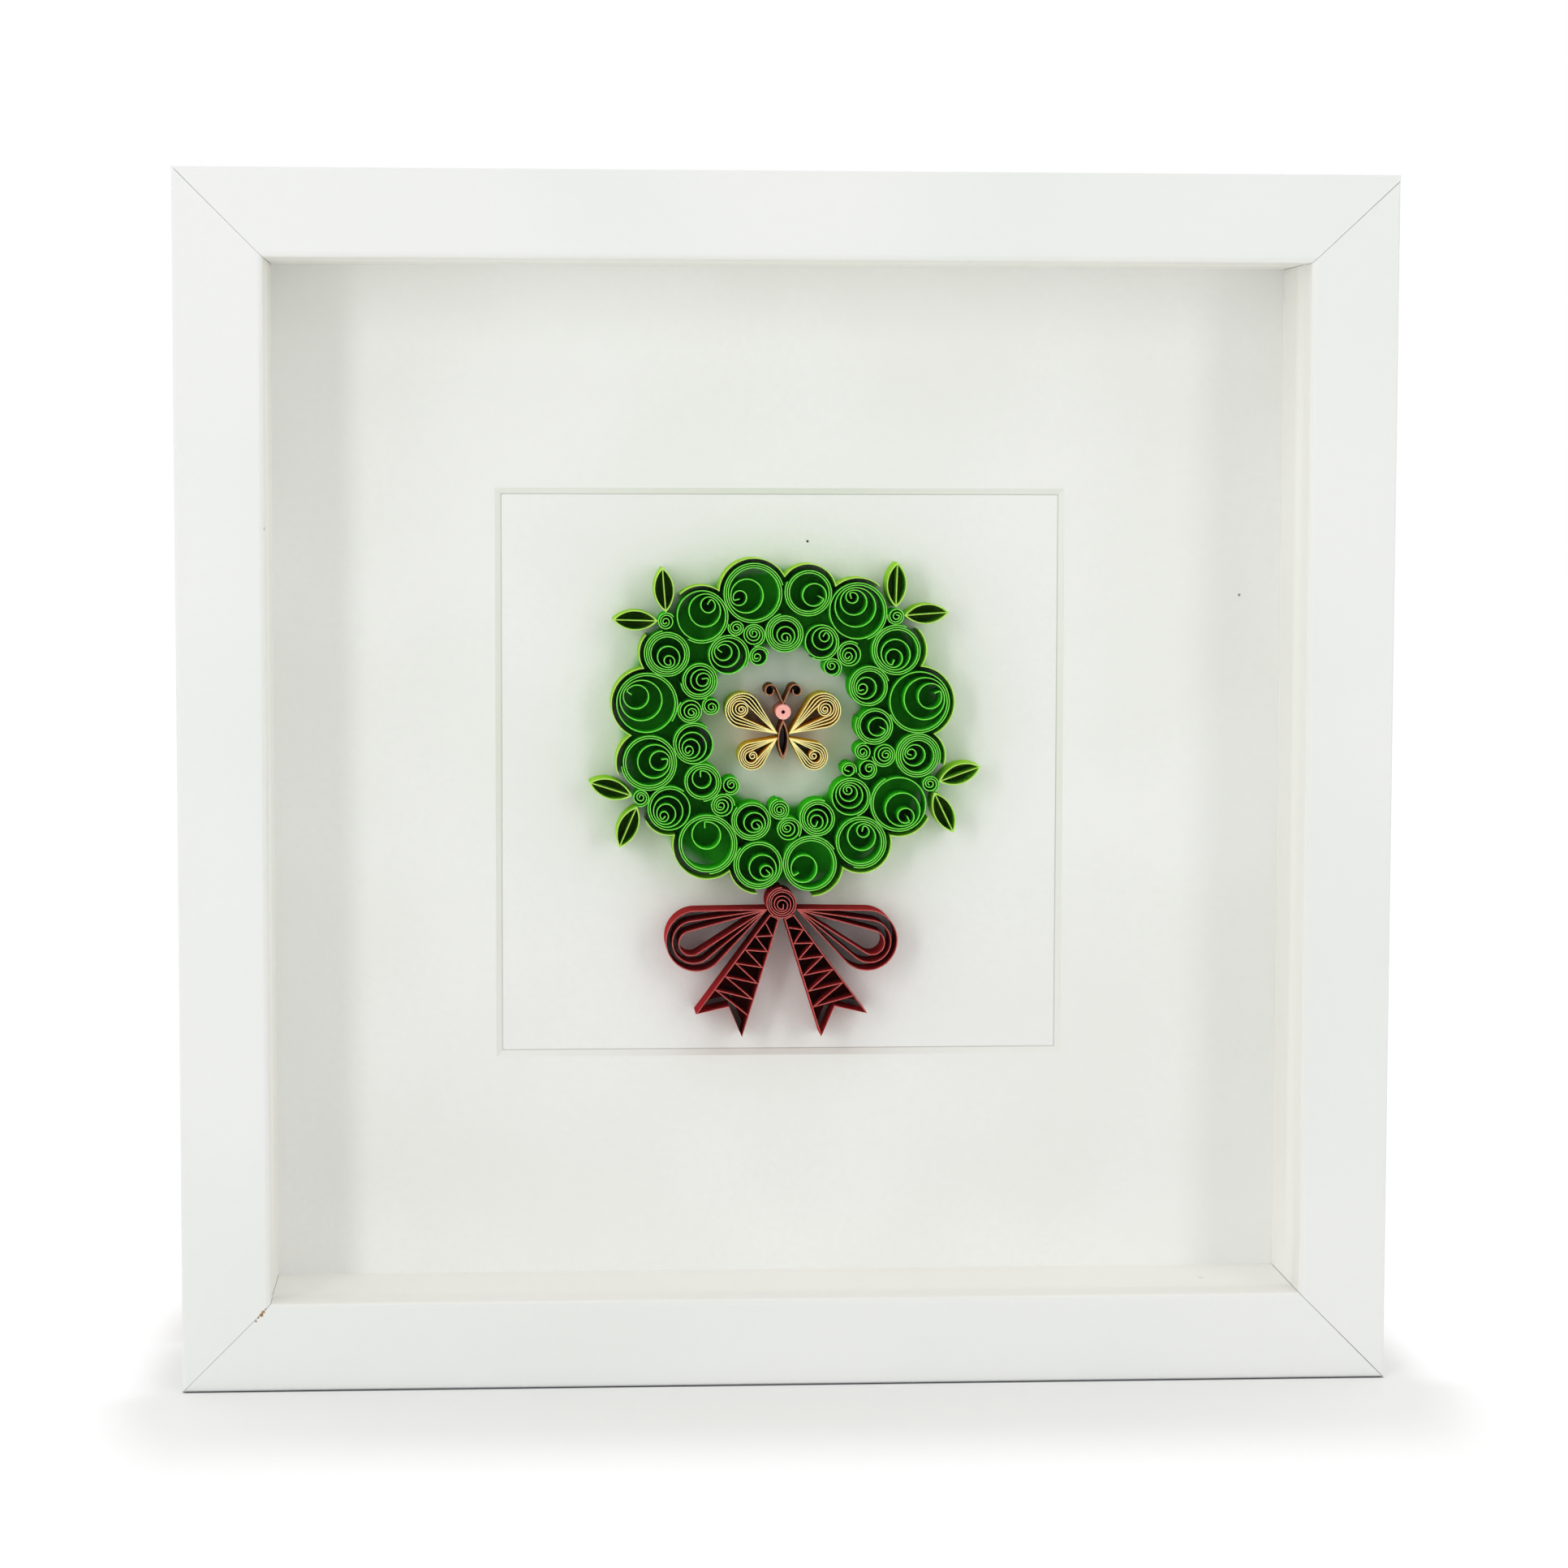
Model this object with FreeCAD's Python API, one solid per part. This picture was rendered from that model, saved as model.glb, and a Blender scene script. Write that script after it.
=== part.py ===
"""A white square shadow-box frame that holds a quilled paper picture behind clear glazing.

Millimetres. +Z is up and the picture faces -Y. The origin is on the standing surface, at the
centre of the frame's width and depth. The frame is four mitred rails. From the front, the rebate
holds the glazing, a spacer of four mitred strips, a bevel-cut mount, the card that carries the
quilling and a hardboard back, held in by steel points. The quilling is strips of paper that stand
on edge on the card: a wreath of green coils with leaves, a red bow and a yellow butterfly.
"""
import FreeCAD
import Part
import math
import os

V = FreeCAD.Vector

# Frame rails
FRAME_WIDTH = 250.0
FRAME_HEIGHT = 250.0
FRAME_DEPTH = 45.0
FACE_WIDTH = 18.0  # front face of a rail, outer edge to sight edge
RAIL_WALL = 9.0  # side wall of a rail, beside the rebate
LIP_DEPTH = 8.0  # front of the rail to the seat of the glazing
OUTER_ROUND = 0.5
SIGHT_ROUND = 1.3
MITRE_GAPS = {  # open joint line between two rails: at the sight edge, at the outer edge
    "bottom_left": (0.07, 0.06),
    "bottom_right": (0.08, 0.13),
    "top_right": (0.06, 0.1),
    "top_left": (0.05, 0.08),
}
TOP_RIGHT_STEP = 1.2  # the top rail's square end above the right rail's tip

# Sheets and strips in the rebate, front to back
REBATE_PLAY = 0.5  # each sheet to the rebate's wall
GLAZING_THICKNESS = 1.5
SPACER_DEPTH = 23.0
SPACER_SETBACK = 0.2  # behind the sight edge
SPACER_MITRE_GAP = 0.1
MAT_THICKNESS = 1.4
MAT_WINDOW = 118.4  # clear window, at the card
CARD_THICKNESS = 0.6
BACK_THICKNESS = 3.0

# Steel pieces
FIT_PLAY = 0.03  # each side of a driven piece
NAIL_COVER = 0.6  # wall left beside a nail's leg
NAIL_THICKNESS = 0.6
NAIL_DEPTH = 10.0
NAIL_SHARE = 0.42  # place of the nail's corner along the wall's diagonal
POINT_WIDTH = 10.0
POINT_THICKNESS = 0.6
POINT_COVER = 3.0  # wall left beyond a point's driven end
POINT_REACH = 9.0  # length over the back board
POINT_SPREAD = 62.0  # each point to the middle of its rail
HANGER_WIDTH = 44.0
HANGER_HEIGHT = 9.0
HANGER_FOOT = 8.0
HANGER_RISE = 1.8
HANGER_THICKNESS = 0.8
HANGER_TOOTH = 2.2
HANGER_TEETH = 9
HANGER_DROP = 13.0  # top of the back board to the hanger's top
RIVET_RADIUS = 1.2
RIVET_HEAD_RADIUS = 2.4
RIVET_HEAD_HEIGHT = 0.7

# Paper strips
PAPER = 0.2
STRIP_HEIGHT = 10.0
WRAP_PLAY = 0.25  # between two turns of a closed wrap
GLUE_PLAY = 0.05  # between two pieces glued side by side

# Wreath
WREATH_RISE = 10.0  # middle of the wreath above the middle of the frame
OUTER_COILS = (5.2, 6.3, 4.7, 5.9, 6.5, 4.9, 5.6, 6.4, 5.0, 6.2, 5.3, 6.6, 4.8, 6.0, 5.5, 5.9)
INNER_COILS = (4.2, 2.5, 4.0, 4.4, 2.6, 3.9, 4.3, 2.4, 4.1, 3.8, 2.7, 4.3, 4.0, 2.5, 4.2, 3.9, 2.6)
FILLER_COILS = (2.2, 1.9, 2.1, 1.7, 2.0, 1.8, 2.1, 1.6, 1.9)
INNER_SHARE = 0.7  # how far out the inner coils are aimed, of the way to the outer ones
FILLER_SHARE = 0.62
HOLLOW_RADIUS = 14.0  # round space that the coils leave free in the middle
SMALL_COIL = 3.0  # coils under this radius are one group
WINDINGS = (  # closed wraps, open turns and share of the radius that is left as the eye
    (1, 2, 0.26), (2, 2, 0.22), (2, 1, 0.46), (1, 3, 0.18), (2, 2, 0.32), (1, 2, 0.38), (3, 2, 0.2),
)
COIL_EYE = 0.65  # smallest bend at a coil's centre
HOOK_BEND = 0.3  # fold at the strip's inner end
HOOK_LENGTH = 1.0
COIL_TURN_STEP = 137.0  # each coil is set down turned by this much from the last
HOOP_COUNTS = (3, 3, 4, 3, 3)  # coils that each hoop reaches round
HOOP_STANDOFF = 0.9
HOOP_END = 8.0  # angle that a hoop reaches past the crest of its last coil
LEAF_LENGTH = 9.5
LEAF_WIDTH = 4.2
LEAF_LEAN = 42.0
BUD_RADIUS = 1.8  # small coil that a pair of leaves grows from

# Bow, around its knot below the wreath
KNOT_RADIUS = 3.3
KNOT_WINDING = (2, 3, 0.3)
BOW_LOOP_LENGTH = 23.0
BOW_LOOP_WIDTH = 13.0
BOW_LOOP_DROOP = 24.0
BOW_LAYERS = 3
BOW_LAYER_STEP = 1.9
BOW_LAYER_CROWD = 1.3
TAIL_LENGTH = 26.0
TAIL_ROOT_WIDTH = 2.2
TAIL_END_WIDTH = 11.0
TAIL_NOTCH = 4.5
TAIL_SPREAD = 27.0
PLEATS = 11

# Butterfly, around the middle of the wreath
BUTTERFLY_DROP = 1.5  # middle of the wings below the middle of the wreath
BODY_LENGTH = 8.4
BODY_WIDTH = 2.2
BODY_BELOW = 5.0  # tail of the body below the wings' roots
HEAD_RADIUS = 1.6
HEAD_BORE = 0.4
WING_LAYERS = 4
WING_LAYER_SHARE = 0.175  # gap from turn to turn, of half the wing's width
WING_LAYER_CROWD = 0.42
WING_CURL_EYE = 0.5
WING_CURL_TURNS = 3
WING_ROOT_GAP = 0.8
UPPER_WING_LENGTH = 12.6
UPPER_WING_WIDTH = 7.4
UPPER_WING_LIFT = 34.0
LOWER_WING_LENGTH = 9.6
LOWER_WING_WIDTH = 5.8
LOWER_WING_LIFT = -36.0
FEELER_LENGTH = 3.6
FEELER_CURLS = (1.2, 0.85)
FEELER_SPREAD = 24.0

# Places along the depth, worked out from the sizes above
FRONT = -FRAME_DEPTH / 2
BACK = FRAME_DEPTH / 2
GLAZING_FRONT = FRONT + LIP_DEPTH
SPACER_FRONT = GLAZING_FRONT + GLAZING_THICKNESS
MAT_FRONT = SPACER_FRONT + SPACER_DEPTH
CARD_FRONT = MAT_FRONT + MAT_THICKNESS
BOARD_FRONT = CARD_FRONT + CARD_THICKNESS
BOARD_BACK = BOARD_FRONT + BACK_THICKNESS
MIDDLE = FRAME_HEIGHT / 2
REBATE_WIDTH = FRAME_WIDTH - 2 * RAIL_WALL
REBATE_HEIGHT = FRAME_HEIGHT - 2 * RAIL_WALL
SPACER_LOW = RAIL_WALL + REBATE_PLAY
SPACER_HIGH = FACE_WIDTH - SPACER_SETBACK
SHEET_WIDTH = REBATE_WIDTH - 2 * REBATE_PLAY
SHEET_HEIGHT = REBATE_HEIGHT - 2 * REBATE_PLAY


# Shapes in the plane of the picture: a point is (x, z) on the card, angles are anticlockwise

def point(x, z, y=CARD_FRONT):
    return V(x, y, z)


def polar(origin, reach, angle):
    turn = math.radians(angle)
    return (origin[0] + reach * math.cos(turn), origin[1] + reach * math.sin(turn))


def distance(a, b):
    return math.hypot(b[0] - a[0], b[1] - a[1])


def direction(a, b):
    return math.degrees(math.atan2(b[1] - a[1], b[0] - a[0]))


def raised(face):
    """A flat outline on the card, stood up towards the viewer."""
    return face.extrude(V(0, -STRIP_HEIGHT, 0))


def polygon_face(corners, y=CARD_FRONT):
    closed = [point(x, z, y) for x, z in corners] + [point(*corners[0], y)]
    return Part.Face(Part.makePolygon(closed))


def arc_edge(centre, radius, start, sweep):
    middle, end = start + sweep / 2, start + sweep
    ends = [point(*polar(centre, radius, angle)) for angle in (start, middle, end)]
    return Part.Arc(*ends).toShape()


def line_edge(a, b):
    return Part.LineSegment(point(*a), point(*b)).toShape()


def strip(start, heading, bends):
    """One upright strip. It leaves start at heading and takes each (radius, turn) in order,
    where a positive turn bends left. A turn of 0 is a straight run of that length."""
    half = PAPER / 2
    left, right = [], []
    here, angle = start, heading
    for radius, turn in bends:
        if turn == 0:
            there = polar(here, radius, angle)
            for edges, side in ((left, half), (right, -half)):
                edges.append(line_edge(polar(here, side, angle + 90), polar(there, side, angle + 90)))
            here = there
            continue
        side = math.copysign(1, turn)
        centre = polar(here, side * radius, angle + 90)
        start_angle = angle - 90 * side
        left.append(arc_edge(centre, radius - side * half, start_angle, turn))
        right.append(arc_edge(centre, radius + side * half, start_angle, turn))
        here = polar(centre, radius, start_angle + turn)
        angle += turn
    caps = [
        line_edge(polar(start, half, heading + 90), polar(start, -half, heading + 90)),
        line_edge(polar(here, half, angle + 90), polar(here, -half, angle + 90)),
    ]
    outline = Part.Wire(Part.__sortEdges__(left + right + caps))
    return raised(Part.Face(outline))


def coil_bends(radius, wraps, turns, eye):
    """Half turns of a loose coil, and the hook at its inner end. After the closed wraps, the open
    turns crowd together on one side."""
    wrap_step = (PAPER + WRAP_PLAY) / 2
    bend = radius - PAPER / 2
    bends = []
    for _ in range(2 * wraps):
        bends.append((bend, 180))
        bend -= wrap_step
    turns = min(turns, int((bend - eye) / (2 * wrap_step)))
    for turn in range(turns):
        bends.append((bend, 180))
        bend -= (bend - eye) / (turns - turn) - wrap_step
        bends.append((bend, 180))
        bend -= wrap_step
    return bends + [(bend, 180), (HOOK_BEND, 90), (min(HOOK_LENGTH, bend - PAPER), 0)]


def coil(centre, radius, facing, winding=WINDINGS[0]):
    wraps, turns, eye_share = winding
    eye = max(COIL_EYE, eye_share * radius)
    start = polar(centre, radius - PAPER / 2, facing)
    return strip(start, facing + 90, coil_bends(radius, wraps, turns, eye))


def teardrop_face(tip, heading, reach, radius):
    """Straight sides from tip to a round end of that radius, whose centre is at reach."""
    centre = polar(tip, reach, heading)
    side = 90 + math.degrees(math.asin(radius / reach))
    upper = polar(centre, radius, heading + side)
    lower = polar(centre, radius, heading - side)
    edges = [
        line_edge(tip, lower),
        arc_edge(centre, radius, heading - side, 2 * side),
        line_edge(upper, tip),
    ]
    return Part.Face(Part.Wire(edges))


def teardrop_ring(tip, heading, reach, radius):
    inner_tip = polar(tip, PAPER * reach / radius, heading)
    inner_reach = reach - PAPER * reach / radius
    outer = teardrop_face(tip, heading, reach, radius)
    return outer.cut(teardrop_face(inner_tip, heading, inner_reach, radius - PAPER))


def pinched_loops(tip, heading, length, width, layers, step, crowd):
    """Nested teardrop turns of one strip, pressed together where they are pinched at the tip."""
    rings = []
    for layer in range(layers):
        radius = width / 2 - layer * step
        reach = length - layer * crowd - radius
        rings.append(raised(teardrop_ring(tip, heading, reach, radius)))
    return rings[0].fuse(rings[1:])


def lens_face(tip, heading, length, width):
    """A leaf outline: two arcs from tip to tip."""
    far = polar(tip, length, heading)
    middle = polar(tip, length / 2, heading)
    edges = []
    for ends, side in (((tip, far), -1), ((far, tip), 1)):
        crest = polar(middle, side * width / 2, heading + 90)
        edges.append(Part.Arc(point(*ends[0]), point(*crest), point(*ends[1])).toShape())
    return Part.Face(Part.Wire(edges))


def straight_strip(a, b):
    return strip(a, direction(a, b), [(distance(a, b), 0)])


def one_solid(shape):
    clean = shape.removeSplitter()
    return clean.Solids[0] if len(clean.Solids) == 1 else clean


# Frame rails, spacer strips and their steel

def mitred_bar(profile, length, left_end, right_end):
    """A bar along X whose outer face is at z = 0 and that faces inwards, +Z. Each end is a line
    of (setback, height) from its outer edge to its sight edge."""
    bar = profile.extrude(V(length, 0, 0))
    bar.translate(V(-length / 2, 0, 0))
    corners = [(-length / 2 + setback, height) for setback, height in left_end]
    corners += [(length / 2 - setback, height) for setback, height in reversed(right_end)]
    return bar.common(polygon_face(corners, FRONT).extrude(V(0, FRAME_DEPTH, 0)))


def rail_profile():
    """Section of a rail across its length: the lip in front, the wall beside the rebate behind."""
    def at(depth, inward):
        return V(0, FRONT + depth, inward)

    diagonal = 1 - math.sqrt(0.5)
    outer, sight = OUTER_ROUND, SIGHT_ROUND
    edges = [
        Part.Arc(at(outer, 0), at(outer * diagonal, outer * diagonal), at(0, outer)).toShape(),
        Part.makeLine(at(0, outer), at(0, FACE_WIDTH - sight)),
        Part.Arc(
            at(0, FACE_WIDTH - sight),
            at(sight * diagonal, FACE_WIDTH - sight * diagonal),
            at(sight, FACE_WIDTH),
        ).toShape(),
        Part.makeLine(at(sight, FACE_WIDTH), at(LIP_DEPTH, FACE_WIDTH)),
        Part.makeLine(at(LIP_DEPTH, FACE_WIDTH), at(LIP_DEPTH, RAIL_WALL)),
        Part.makeLine(at(LIP_DEPTH, RAIL_WALL), at(FRAME_DEPTH, RAIL_WALL)),
        Part.makeLine(at(FRAME_DEPTH, RAIL_WALL), at(FRAME_DEPTH, outer)),
        Part.Arc(
            at(FRAME_DEPTH, outer),
            at(FRAME_DEPTH - outer * diagonal, outer * diagonal),
            at(FRAME_DEPTH - outer, 0),
        ).toShape(),
        Part.makeLine(at(FRAME_DEPTH - outer, 0), at(outer, 0)),
    ]
    return Part.Face(Part.Wire(edges))


def spacer_profile():
    corners = [
        V(0, SPACER_FRONT, SPACER_LOW), V(0, MAT_FRONT, SPACER_LOW),
        V(0, MAT_FRONT, SPACER_HIGH), V(0, SPACER_FRONT, SPACER_HIGH),
    ]
    return Part.Face(Part.makePolygon(corners + corners[:1]))


def on_side(shape, side):
    """Moves a shape made for the bottom rail to another side of the frame."""
    turns = {"bottom": 0, "right": -90, "top": 180, "left": 90}
    shift = {
        "bottom": V(0, 0, 0),
        "right": V(FRAME_WIDTH / 2, 0, MIDDLE),
        "top": V(0, 0, FRAME_HEIGHT),
        "left": V(-FRAME_WIDTH / 2, 0, MIDDLE),
    }
    moved = shape.copy()
    moved.rotate(V(0, 0, 0), V(0, 1, 0), turns[side])
    moved.translate(shift[side])
    return moved


SIDES = {  # each rail's length and the corners at its left and right end, seen from inside
    "bottom": (FRAME_WIDTH, "bottom_left", "bottom_right"),
    "right": (FRAME_HEIGHT, "bottom_right", "top_right"),
    "top": (FRAME_WIDTH, "top_right", "top_left"),
    "left": (FRAME_HEIGHT, "top_left", "bottom_left"),
}


def rail_end(side, corner):
    at_sight, at_outside = (gap / math.sqrt(2) for gap in MITRE_GAPS[corner])
    sight = (FACE_WIDTH + at_sight, FACE_WIDTH)
    if corner != "top_right":
        return [(at_outside, 0), sight]
    if side == "top":
        return [(0, 0), (0, TOP_RIGHT_STEP - at_outside), sight]
    return [(TOP_RIGHT_STEP + at_outside, 0), sight]


def retaining_point(place, play=0.0):
    """A flat steel point on the bottom rail, driven into the wall just behind the back board."""
    width = POINT_WIDTH + 2 * play
    length = RAIL_WALL - POINT_COVER + POINT_REACH + play
    thickness = POINT_THICKNESS + 2 * play
    start = V(place - width / 2, BOARD_BACK - play, POINT_COVER - play)
    return Part.makeBox(width, thickness, length, start)


def corner_nail(play=0.0):
    """An angled nail across a mitre, driven in from the back, one leg in each rail."""
    corner = NAIL_SHARE * RAIL_WALL - play
    leg = RAIL_WALL - NAIL_COVER + play - corner
    thickness = NAIL_THICKNESS + 2 * play
    depth = NAIL_DEPTH + play
    start = V(corner, BACK - depth, corner)
    return Part.makeBox(leg, depth, thickness, start).fuse(
        Part.makeBox(thickness, depth, leg, start)
    ).removeSplitter()


def corner_nails(play=0.0):
    nails = []
    for right in (False, True):
        for top in (False, True):
            nail = corner_nail(play)
            nail.translate(V(-FRAME_WIDTH / 2, 0, 0))
            if right:
                nail = nail.mirror(V(0, 0, 0), V(1, 0, 0))
            if top:
                nail = nail.mirror(V(0, 0, MIDDLE), V(0, 0, 1))
            nails.append(nail)
    return nails


def rails():
    nail_slots = corner_nails(FIT_PLAY)
    made = {}
    for side, (length, left, right) in SIDES.items():
        bar = mitred_bar(rail_profile(), length, rail_end(side, left), rail_end(side, right))
        slots = [retaining_point(place, FIT_PLAY) for place in (-POINT_SPREAD, POINT_SPREAD)]
        bar = on_side(bar.cut(slots), side)
        made["frame_rail_" + side] = bar.cut(nail_slots)
    return made


def spacers():
    setback = SPACER_MITRE_GAP / math.sqrt(2)
    end = [(height + setback, height) for height in (SPACER_LOW, SPACER_HIGH)]
    made = {}
    for side, (length, _, _) in SIDES.items():
        made["spacer_" + side] = on_side(mitred_bar(spacer_profile(), length, end, end), side)
    return made


def retaining_points():
    points = []
    for side in SIDES:
        points += [on_side(retaining_point(place), side) for place in (-POINT_SPREAD, POINT_SPREAD)]
    return Part.makeCompound(points)


# Sheets in the rebate

def sheet(front, thickness):
    corner = V(-SHEET_WIDTH / 2, front, MIDDLE - SHEET_HEIGHT / 2)
    return Part.makeBox(SHEET_WIDTH, thickness, SHEET_HEIGHT, corner)


def square_face(size, y):
    half = size / 2
    return polygon_face(
        [(-half, MIDDLE - half), (half, MIDDLE - half), (half, MIDDLE + half), (-half, MIDDLE + half)], y
    )


def mat():
    """The mount: its window is cut with a bevel that widens towards the viewer at 45 degrees."""
    narrow = square_face(MAT_WINDOW, CARD_FRONT).OuterWire
    wide = square_face(MAT_WINDOW + 2 * MAT_THICKNESS, MAT_FRONT).OuterWire
    return sheet(MAT_FRONT, MAT_THICKNESS).cut(Part.makeLoft([narrow, wide], True, True))


def hanger_top():
    return MIDDLE + SHEET_HEIGHT / 2 - HANGER_DROP


def rivet_places():
    offset = HANGER_WIDTH / 2 - HANGER_FOOT / 2
    return [(place, hanger_top() - HANGER_HEIGHT / 2) for place in (-offset, offset)]


def rivet_holes():
    return [
        Part.makeCylinder(
            RIVET_RADIUS + FIT_PLAY, BACK - BOARD_FRONT, V(x, BOARD_FRONT, z), V(0, 1, 0)
        )
        for x, z in rivet_places()
    ]


def back_board():
    return sheet(BOARD_FRONT, BACK_THICKNESS).cut(rivet_holes())


def hanger():
    """A toothed hanging plate: two feet on the board and a raised middle with teeth below."""
    half, foot = HANGER_WIDTH / 2, HANGER_WIDTH / 2 - HANGER_FOOT
    shoulder = foot - HANGER_RISE
    low, high = BOARD_BACK, BOARD_BACK + HANGER_RISE
    under = [(-half, low), (-foot, low), (-shoulder, high), (shoulder, high), (foot, low), (half, low)]
    over = [(x, y + HANGER_THICKNESS) for x, y in reversed(under)]
    base = hanger_top() - HANGER_HEIGHT
    corners = [V(x, y, base) for x, y in under + over]
    plate = Part.Face(Part.makePolygon(corners + corners[:1])).extrude(V(0, 0, HANGER_HEIGHT))
    pitch = 2 * shoulder / HANGER_TEETH
    notches = []
    for tooth in range(HANGER_TEETH):
        left = -shoulder + tooth * pitch
        notch = polygon_face(
            [(left, base), (left + pitch, base), (left + pitch / 2, base + HANGER_TOOTH)], BOARD_BACK
        )
        notches.append(notch.extrude(V(0, BACK - BOARD_BACK, 0)))
    return plate.cut(notches + rivet_holes())


def rivets():
    made = []
    for x, z in rivet_places():
        seat = BOARD_BACK + HANGER_THICKNESS
        shank = Part.makeCylinder(RIVET_RADIUS, seat - BOARD_FRONT, V(x, BOARD_FRONT, z), V(0, 1, 0))
        head = Part.makeCylinder(RIVET_HEAD_RADIUS, RIVET_HEAD_HEIGHT, V(x, seat, z), V(0, 1, 0))
        made.append(shank.fuse(head).removeSplitter())
    return Part.makeCompound(made)


# Wreath

WREATH_CENTRE = (0.0, MIDDLE + WREATH_RISE)


def crossings(first, reach_a, second, reach_b):
    """The two points at those distances from two centres. The first lies left of the way there."""
    run = distance(first, second)
    along = (run**2 + reach_a**2 - reach_b**2) / (2 * run)
    if abs(along) >= reach_a:
        return []
    foot = polar(first, along, direction(first, second))
    aside = math.sqrt(reach_a**2 - along**2)
    return [polar(foot, aside, direction(first, second) + turn) for turn in (90, -90)]


def ring_steps(ring_radius):
    """Angle between each two neighbours of the closed ring of outer coils."""
    neighbours = zip(OUTER_COILS, OUTER_COILS[1:] + OUTER_COILS[:1])
    return [
        2 * math.degrees(math.asin((a + b + GLUE_PLAY) / (2 * ring_radius))) for a, b in neighbours
    ]


RING_HALVINGS = 50


def closed_ring_radius():
    """The radius at which the ring of outer coils closes, with each coil against the next."""
    low = max(OUTER_COILS) + GLUE_PLAY
    high = sum(OUTER_COILS)
    for _ in range(RING_HALVINGS):
        trial = (low + high) / 2
        if sum(ring_steps(trial)) > 360:
            low = trial
        else:
            high = trial
    return high


RING_RADIUS = closed_ring_radius()


def outer_ring():
    """Centre and radius of each outer coil, clockwise from the joint at the bottom."""
    steps = ring_steps(RING_RADIUS)
    first, last = OUTER_COILS[0], OUTER_COILS[-1]
    angle = -90 - steps[-1] * first / (first + last)
    places = []
    for radius, step in zip(OUTER_COILS, steps):
        places.append((polar(WREATH_CENTRE, RING_RADIUS, angle), radius))
        angle -= step
    return places


def resting_places(radius, taken):
    """Each place where a coil lies against two others and clear of the rest."""
    spots = []
    for number, (a, radius_a) in enumerate(taken):
        for b, radius_b in taken[number + 1:]:
            if distance(a, b) < radius_a + radius_b + 2 * (radius + GLUE_PLAY):
                reach_a = radius_a + radius + GLUE_PLAY
                reach_b = radius_b + radius + GLUE_PLAY
                spots += crossings(a, reach_a, b, reach_b)
    return [
        spot for spot in spots
        if all(distance(spot, other) > radius + reach + GLUE_PLAY / 2 for other, reach in taken)
    ]


def aims(radii, share):
    """Points round the wreath, spaced as the coils that are aimed at them."""
    passed = 0.0
    for radius in radii:
        angle = -90 - 360 * (passed + radius / 2) / sum(radii)
        passed += radius
        yield radius, polar(WREATH_CENTRE, RING_RADIUS * share, angle)


def inner_ring(outer):
    """Coils that lie in the hollows on the inside of the outer ring, each nearest to its aim."""
    taken = list(outer)
    for radius, aim in aims(INNER_COILS, INNER_SHARE):
        places = resting_places(radius, taken)
        taken.append((min(places, key=lambda spot: distance(spot, aim)), radius))
    return taken[len(outer):]


def fillers(taken):
    """Little coils in the gaps that are left, as many as find room."""
    taken, made = list(taken), []
    for radius, aim in aims(FILLER_COILS, FILLER_SHARE):
        places = [
            spot for spot in resting_places(radius, taken)
            if radius + HOLLOW_RADIUS < distance(spot, WREATH_CENTRE) < RING_RADIUS
        ]
        if places:
            made.append((min(places, key=lambda spot: distance(spot, aim)), radius))
            taken.append(made[-1])
    return made


def wreath_coils():
    outer = outer_ring()
    inner = inner_ring(outer)
    large = [place for place in inner if place[1] >= SMALL_COIL]
    small = [place for place in inner if place[1] < SMALL_COIL]
    made = {}
    for ring, places in (("outer", outer), ("inner", large)):
        for number, (centre, radius) in enumerate(places, start=1):
            made[f"{ring}_coil_{number:02d}"] = coil(
                centre, radius, number * COIL_TURN_STEP, WINDINGS[number % len(WINDINGS)]
            )
    small += fillers(outer + inner) + [(centre, BUD_RADIUS) for centre, _ in buds()]
    made["small_coils"] = Part.makeCompound([
        coil(centre, radius, number * COIL_TURN_STEP)
        for number, (centre, radius) in enumerate(small)
    ])
    return made


def hug(run, standoff):
    """Arcs over the outer side of a run of coils, as (centre, radius, start, sweep)."""
    rings = [(centre, radius + standoff) for centre, radius in run]
    joints = [
        crossings(a, reach_a, b, reach_b)[0] for (a, reach_a), (b, reach_b) in zip(rings, rings[1:])
    ]
    starts = [direction(WREATH_CENTRE, rings[0][0]) + HOOP_END]
    starts += [direction(ring[0], joint) for ring, joint in zip(rings[1:], joints)]
    ends = [direction(ring[0], joint) for ring, joint in zip(rings, joints)]
    ends.append(direction(WREATH_CENTRE, rings[-1][0]) - HOOP_END)
    return [
        (centre, reach, start, -((start - end) % 360))
        for (centre, reach), start, end in zip(rings, starts, ends)
    ]


def hoop(run):
    """A strip that follows the outside of a run of coils, folded in where two of them meet."""
    inside, outside = hug(run, HOOP_STANDOFF), hug(run, HOOP_STANDOFF + PAPER)
    edges = [arc_edge(*arc) for arc in inside + outside]
    (first_in, *_, last_in), (first_out, *_, last_out) = inside, outside
    edges.append(line_edge(
        polar(first_in[0], first_in[1], first_in[2]), polar(first_out[0], first_out[1], first_out[2])
    ))
    edges.append(line_edge(
        polar(last_in[0], last_in[1], last_in[2] + last_in[3]),
        polar(last_out[0], last_out[1], last_out[2] + last_out[3]),
    ))
    return raised(Part.Face(Part.Wire(Part.__sortEdges__(edges))))


def hoops():
    outer = outer_ring()
    made, first = [], 0
    for count in HOOP_COUNTS:
        made.append(hoop(outer[first:first + count]))
        first += count
    return Part.makeCompound(made)


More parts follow.
